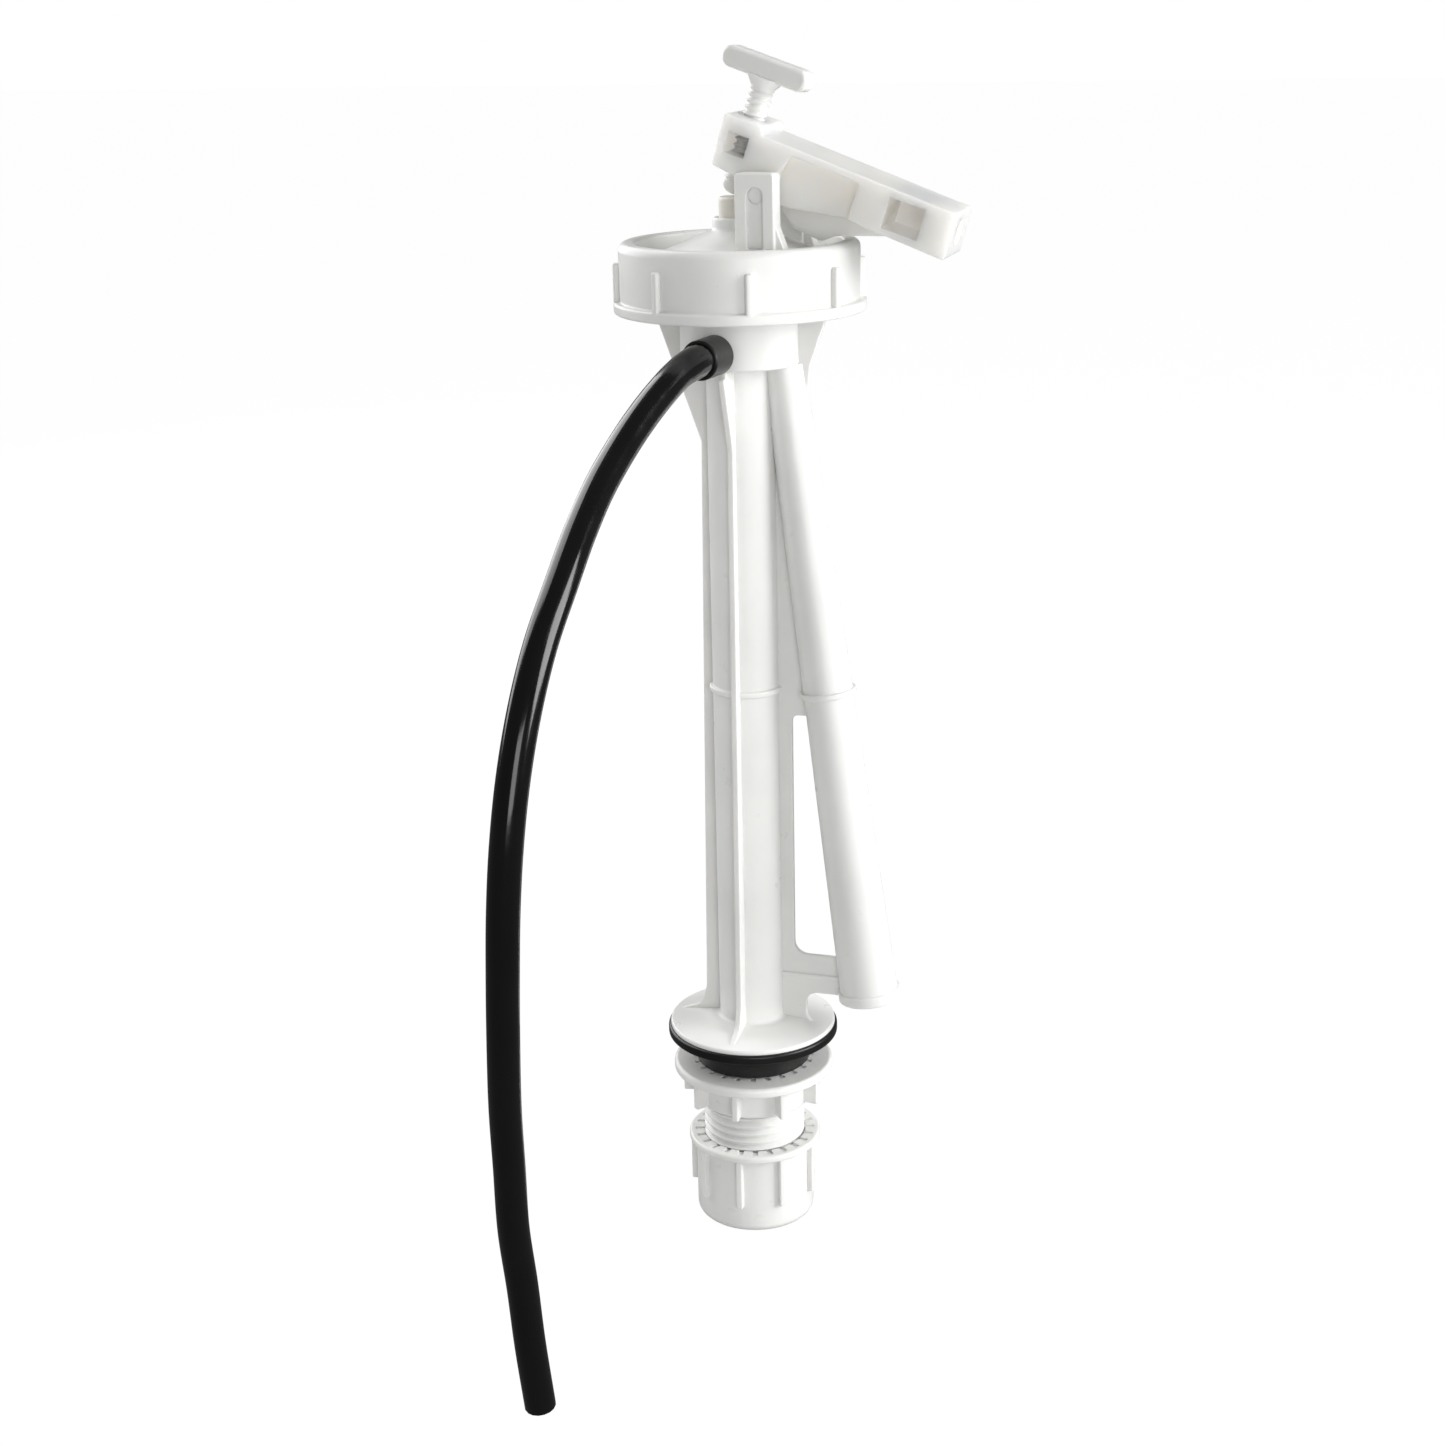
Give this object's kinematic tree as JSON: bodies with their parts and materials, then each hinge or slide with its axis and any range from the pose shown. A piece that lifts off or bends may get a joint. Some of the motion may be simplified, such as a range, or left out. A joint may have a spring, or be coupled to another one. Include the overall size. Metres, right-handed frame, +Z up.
{
  "type": "float valve",
  "caption": "White anti-siphon float valve for a flushing cistern: ribbed standpipe, arm with adjusting screw, threaded inlet shank with two nuts, discharge tube and black refill tube.",
  "frame": {"origin": "centre of the shank at the underside of the rubber seal, which rests on the cistern floor", "axes": "+Z up along the standpipe, +X towards the end of the float arm; the refill nozzle points to -Y"},
  "size_m": [0.0699, 0.1306, 0.2506],
  "materials": {
    "white_plastic": "moulded acetal, light gloss",
    "ivory_plastic": "moulded acetal, light gloss",
    "grey_plastic": "moulded polyethylene, matt",
    "black_rubber": "moulded rubber, satin",
    "black_tube": "extruded soft PVC, gloss"
  },
  "bodies": {
    "body": {"valve_body": "white_plastic", "valve_head": "white_plastic", "threaded_shank": "white_plastic", "inlet_strainer": "grey_plastic", "flange_seal": "black_rubber", "valve_seat": "ivory_plastic", "seat_o_ring": "black_rubber", "air_flap_ring": "black_rubber", "diaphragm": "black_rubber", "head_cover": "white_plastic", "pivot_pin": "white_plastic", "refill_spigot": "white_plastic", "flow_restrictor": "grey_plastic", "hose_sleeve": "black_rubber", "refill_tube": "black_tube"},
    "arm": {"lever": "white_plastic"},
    "plunger": {"plunger": "ivory_plastic", "plunger_o_ring": "black_rubber", "diaphragm_disc": "ivory_plastic"},
    "screw": {"adjusting_screw": "white_plastic"},
    "cap": {"cap_nut": "white_plastic"},
    "back_nut": {"back_nut": "white_plastic"},
    "supply_washers": {"friction_ring": "grey_plastic", "cone_washer": "black_rubber"},
    "supply_nut": {"coupling_nut": "white_plastic"}
  },
  "joints": [
    {"name": "lever_pivot", "type": "hinge", "parent": "body", "child": "arm", "pos_m": [0.0069, 0, 0.18], "axis": [0, -1, 0], "range_deg": [0, 16]},
    {"name": "plunger_slide", "type": "slide", "parent": "body", "child": "plunger", "axis": [0, 0, -1], "range_m": [0, 0.0022]},
    {"name": "adjusting_turn", "type": "hinge", "parent": "arm", "child": "screw", "pos_m": [0.00221, 0, 0.19], "axis": [0.3173, 0, 0.9483], "range_deg": [-180, 180]},
    {"name": "cap_turn", "type": "hinge", "parent": "body", "child": "cap", "pos_m": [0, 0, 0.1666], "axis": [0, 0, 1], "range_deg": [0, 360]},
    {"name": "back_nut_slide", "type": "slide", "parent": "body", "child": "back_nut", "axis": [0, 0, 1], "range_m": [-0.0075, 0.0002]},
    {"name": "supply_washer_slide", "type": "slide", "parent": "body", "child": "supply_washers", "axis": [0, 0, -1], "range_m": [0, 0.0072]},
    {"name": "supply_nut_turn", "type": "hinge", "parent": "supply_washers", "child": "supply_nut", "pos_m": [0, 0, -0.0433], "axis": [0, 0, 1], "range_deg": [0, 1400]}
  ],
  "couplings": [
    {"joint": "plunger_slide", "follows": "lever_pivot", "m_per_rad": 0.00752},
    {"joint": "supply_washer_slide", "follows": "supply_nut_turn", "m_per_rad": 0.00028871}
  ]
}
